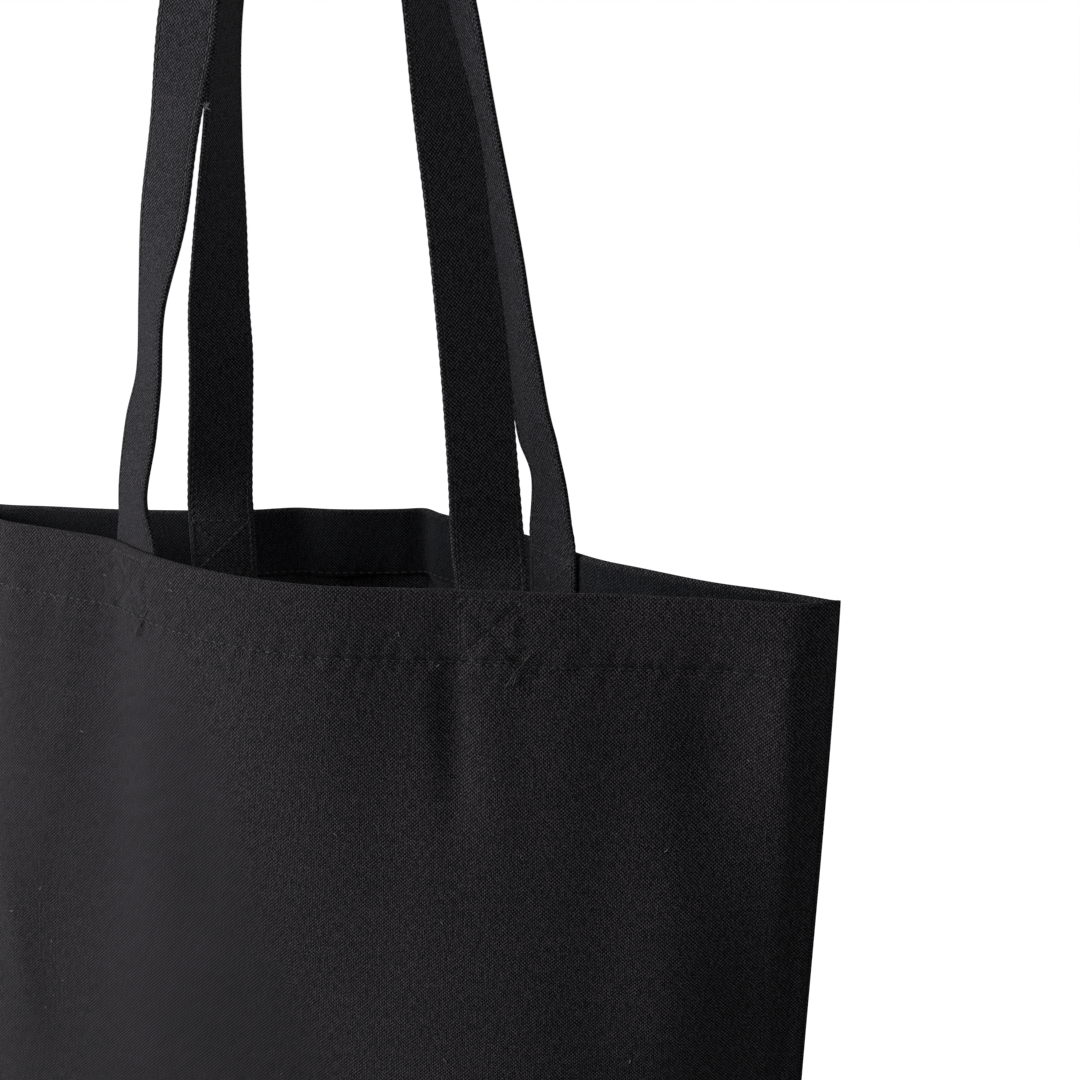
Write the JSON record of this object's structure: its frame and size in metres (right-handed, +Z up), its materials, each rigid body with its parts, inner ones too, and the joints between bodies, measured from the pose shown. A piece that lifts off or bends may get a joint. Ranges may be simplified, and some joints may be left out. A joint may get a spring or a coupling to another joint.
{
  "type": "tote bag",
  "caption": "Plain black canvas tote bag, open at the top, with a boxed base, a turned-down hem and two long strap handles sewn inside the mouth.",
  "frame": {"origin": "centre of the base, on the surface the bag stands on", "axes": "+Z up towards the handles, +X along the mouth from the left side seam to the right one, -Y is the front"},
  "size_m": [0.364, 0.1113, 0.7065],
  "materials": {
    "canvas": "matt black plain-weave canvas",
    "canvas_inside": "matt black plain-weave canvas, inside and seam allowances",
    "strap": "matt black canvas folded to a strap and stitched along both edges",
    "thread": "black polyester sewing thread, slight sheen"
  },
  "bodies": {
    "bag": {"front_panel": "canvas", "back_panel": "canvas", "front_hem": "canvas_inside", "back_hem": "canvas_inside", "left_side_seam": "canvas_inside", "right_side_seam": "canvas_inside", "bottom_seam": "canvas_inside", "left_corner_seam": "canvas_inside", "right_corner_seam": "canvas_inside", "front_handle_left_end": "strap", "front_handle_right_end": "strap", "back_handle_left_end": "strap", "back_handle_right_end": "strap", "front_hem_stitching": "thread", "back_hem_stitching": "thread", "front_left_box_stitching": "thread", "front_right_box_stitching": "thread", "back_left_box_stitching": "thread", "back_right_box_stitching": "thread"},
    "front_loop": {"front_handle": "strap", "front_handle_edge_stitching": "thread"},
    "back_loop": {"back_handle": "strap", "back_handle_edge_stitching": "thread"}
  },
  "joints": [
    {"name": "front_handle_fold", "type": "hinge", "parent": "bag", "child": "front_loop", "pos_m": [0, -0.0395, 0.432], "axis": [1, 0, 0], "range_deg": [0, 165]},
    {"name": "back_handle_fold", "type": "hinge", "parent": "bag", "child": "back_loop", "pos_m": [0, 0.031, 0.432], "axis": [-1, 0, 0], "range_deg": [0, 165]}
  ]
}
